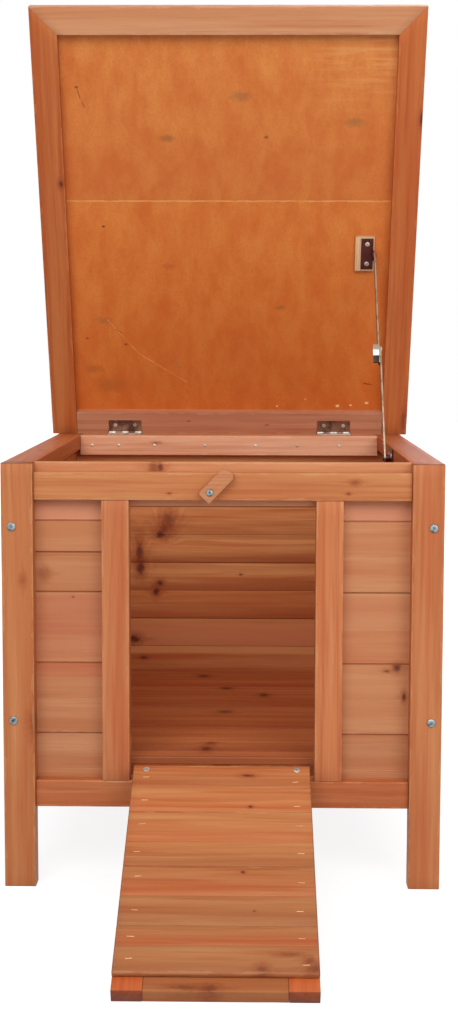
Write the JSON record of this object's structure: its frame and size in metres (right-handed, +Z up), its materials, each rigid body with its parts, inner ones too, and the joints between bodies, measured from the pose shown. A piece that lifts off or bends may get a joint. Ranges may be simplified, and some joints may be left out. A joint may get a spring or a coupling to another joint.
{
  "type": "outdoor cat house",
  "caption": "Framed timber cat cabin on legs with a doorway, a hinged drop-down ramp door, a turn button and a hinged roof lid held open by a folding stay.",
  "frame": {"origin": "bottom centre of the bounding box in the rest pose, on the ground", "axes": "+X to the right when facing the doorway, +Y towards the rear wall, +Z up; the ramp runs down towards -Y"},
  "size_m": [0.52, 0.8288, 1.0646],
  "materials": {
    "pine_frame": "orange-brown stained pine, satin",
    "pine_boards": "stained tongued boards with bead lines, satin",
    "floor_timber": "stained pine, satin",
    "ramp_boards": "stained tongued boards with bead lines, satin",
    "plywood": "orange stained plywood, satin",
    "pale_wood": "unstained pale wood",
    "roofing_felt": "mineral-grit roofing sheet, matte",
    "zinc_fasteners": "bright zinc plate",
    "zinc_hinges": "dull zinc plate",
    "stay_steel": "bright zinc plate, lightly worn",
    "dark_brackets": "dark brown plated steel"
  },
  "bodies": {
    "cabin": {"front_left_post": "pine_frame", "front_right_post": "pine_frame", "rear_left_post": "pine_frame", "rear_right_post": "pine_frame", "left_front_upright": "pine_frame", "left_rear_upright": "pine_frame", "right_front_upright": "pine_frame", "right_rear_upright": "pine_frame", "front_top_rail": "pine_frame", "front_bottom_rail": "pine_frame", "left_door_stile": "pine_frame", "right_door_stile": "pine_frame", "left_cap_rail": "pine_frame", "right_cap_rail": "pine_frame", "left_bottom_rail": "pine_frame", "right_bottom_rail": "pine_frame", "rear_top_rail": "pine_frame", "rear_bottom_rail": "pine_frame", "rear_inner_rail": "pine_boards", "floor_joists": "floor_timber", "floor_boards": "floor_timber", "front_top_board": "pine_boards", "front_bottom_board": "pine_boards", "front_left_boards": "pine_boards", "front_right_boards": "pine_boards", "left_wall_boards": "pine_boards", "right_wall_boards": "pine_boards", "rear_wall_boards": "pine_boards", "corner_screws": "zinc_fasteners", "rear_rail_nails": "zinc_fasteners", "lid_hinge_fixed_leaves": "zinc_hinges", "hinge_pins": "zinc_fasteners", "cabin_small_screws": "zinc_fasteners", "stay_wall_bracket": "dark_brackets", "ramp_hinge_fixed_leaves": "zinc_hinges", "turn_button_screw": "zinc_fasteners"},
    "lid": {"lid_front_rail": "pine_frame", "lid_left_rail": "pine_frame", "lid_right_rail": "pine_frame", "lid_rear_rail": "pine_boards", "lid_front_panel": "plywood", "lid_rear_panel": "plywood", "lid_hinge_moving_leaves": "zinc_hinges", "lid_small_screws": "zinc_fasteners", "roof_felt": "roofing_felt", "stay_packing_block": "pale_wood", "stay_lid_bracket": "dark_brackets"},
    "ramp": {"ramp_left_batten": "pine_frame", "ramp_right_batten": "pine_frame", "ramp_end_batten": "pine_frame", "ramp_board_1": "ramp_boards", "ramp_board_2": "ramp_boards", "ramp_board_3": "ramp_boards", "ramp_board_4": "ramp_boards", "ramp_hinge_moving_leaves": "zinc_hinges", "ramp_screws": "zinc_fasteners", "ramp_staples": "zinc_fasteners"},
    "stay_upper": {"stay_upper_arm": "stay_steel"},
    "stay_lower": {"stay_lower_arm": "stay_steel"},
    "button": {"turn_button": "pine_frame"}
  },
  "joints": [
    {"name": "lid_hinge", "type": "hinge", "parent": "cabin", "child": "lid", "pos_m": [0, 0.3955, 0.49135], "axis": [1, 0, 0], "range_deg": [0, 70]},
    {"name": "ramp_hinge", "type": "hinge", "parent": "cabin", "child": "ramp", "pos_m": [0, -0.11505, 0.12535], "axis": [-1, 0, 0], "range_deg": [0, 113.58]},
    {"name": "stay_lower_pivot", "type": "hinge", "parent": "cabin", "child": "stay_lower", "pos_m": [0.205, 0.1375, 0.476], "axis": [1, 0, 0], "range_deg": [0, 119]},
    {"name": "stay_upper_pivot", "type": "hinge", "parent": "lid", "child": "stay_upper", "pos_m": [0.203, 0.30316, 0.74507], "axis": [1, 0, 0], "range_deg": [-125.44, 0]},
    {"name": "button_turn", "type": "hinge", "parent": "cabin", "child": "button", "pos_m": [-0.014, -0.12185, 0.458], "axis": [0, 1, 0], "continuous": true}
  ],
  "couplings": [
    {"joint": "stay_lower_pivot", "follows": "lid_hinge", "ratio": 1.6998},
    {"joint": "stay_upper_pivot", "follows": "lid_hinge", "ratio": -1.7919}
  ]
}
